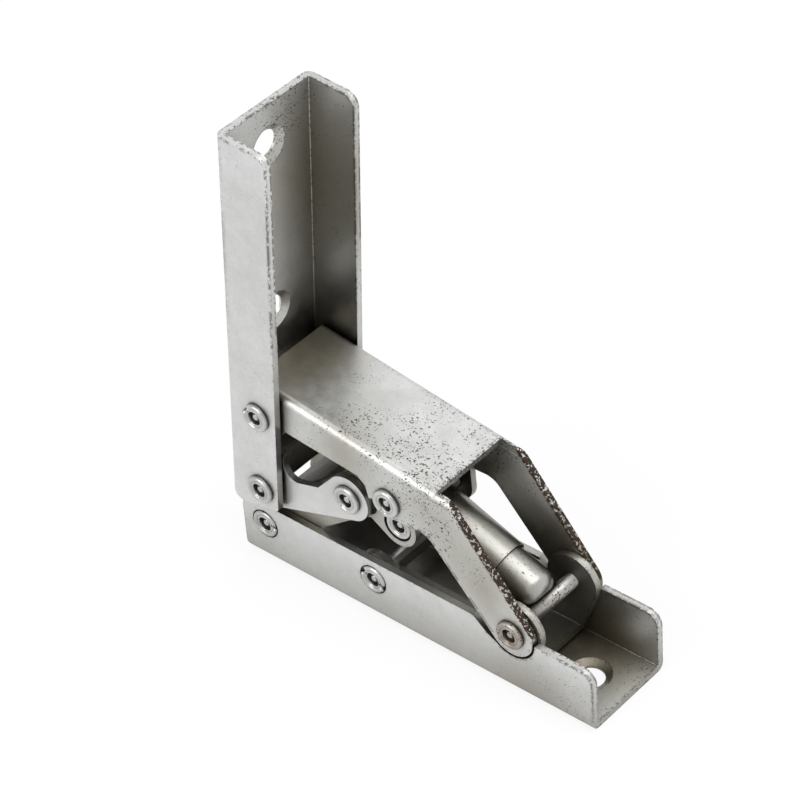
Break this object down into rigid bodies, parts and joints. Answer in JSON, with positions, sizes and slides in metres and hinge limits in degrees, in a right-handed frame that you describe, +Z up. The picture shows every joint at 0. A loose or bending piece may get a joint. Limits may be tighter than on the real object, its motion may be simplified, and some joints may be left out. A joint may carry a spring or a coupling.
{
  "type": "folding hinge",
  "caption": "Hydraulic folding hinge of two steel channels joined by crossing levers, with a telescoping damper between them.",
  "frame": {"origin": "under the middle of the folded hinge, on the base channel's outer face", "axes": "+X along the base channel away from the wall channel, +Y across the hinge, +Z up out of the base channel"},
  "size_m": [0.1204, 0.038, 0.1425],
  "materials": {
    "plate_steel": "satin, worn, with rust specks on the cut edges",
    "rivet_steel": "polished by wear",
    "damper_steel": "drawn tube, satin",
    "seal_plastic": "matte"
  },
  "bodies": {
    "base": {"base_channel": "plate_steel", "pin_base_cross": "rivet_steel", "pin_base_link": "rivet_steel"},
    "lower_link": {"base_link": "plate_steel"},
    "cover": {"cover_link": "plate_steel", "pin_cover_cross": "rivet_steel", "pin_cover_base": "rivet_steel"},
    "wall": {"wall_channel": "plate_steel", "pin_wall_cover": "rivet_steel", "pin_wall_link": "rivet_steel", "washers_cover": "rivet_steel", "washers_link": "rivet_steel"},
    "upper_link": {"wall_link": "plate_steel", "pin_link_cross": "rivet_steel"},
    "cross": {"cross_link": "plate_steel", "pin_damper": "rivet_steel"},
    "cup": {"damper_cup": "damper_steel", "rod_guide": "seal_plastic"},
    "sleeve": {"damper_sleeve": "damper_steel", "piston_rod": "damper_steel", "piston": "seal_plastic"}
  },
  "joints": [
    {"name": "fold", "type": "hinge", "parent": "base", "child": "lower_link", "pos_m": [-0.01314, 0, 0.0129], "axis": [0, -1, 0], "range_deg": [0, 90]},
    {"name": "cover_turn", "type": "hinge", "parent": "lower_link", "child": "cover", "pos_m": [0.03396, 0, 0.0196], "axis": [0, -1, 0], "range_deg": [-60.5, 0]},
    {"name": "wall_turn", "type": "hinge", "parent": "cover", "child": "wall", "pos_m": [-0.04743, 0, 0.05409], "axis": [0, -1, 0], "range_deg": [0, 16.7]},
    {"name": "upper_link_turn", "type": "hinge", "parent": "wall", "child": "upper_link", "pos_m": [-0.0488, 0, 0.02842], "axis": [0, -1, 0], "range_deg": [-29.8, 0]},
    {"name": "cross_turn", "type": "hinge", "parent": "base", "child": "cross", "pos_m": [-0.05174, 0, 0.0123], "axis": [0, -1, 0], "range_deg": [0, 69.3]},
    {"name": "damper_turn", "type": "hinge", "parent": "cover", "child": "cup", "pos_m": [0.03396, 0, 0.0196], "axis": [0, -1, 0], "range_deg": [-13.6, 0]},
    {"name": "damper_stroke", "type": "slide", "parent": "cup", "child": "sleeve", "axis": [0.9351, 0, -0.3543], "range_m": [0, 0.0055]}
  ],
  "couplings": [
    {"joint": "cover_turn", "follows": "fold", "ratio": -0.672},
    {"joint": "wall_turn", "follows": "fold", "ratio": 0.185},
    {"joint": "upper_link_turn", "follows": "fold", "ratio": -0.33},
    {"joint": "cross_turn", "follows": "fold", "ratio": 0.769},
    {"joint": "damper_turn", "follows": "fold", "ratio": -0.15},
    {"joint": "damper_stroke", "follows": "fold", "m_per_rad": 0.0035}
  ]
}
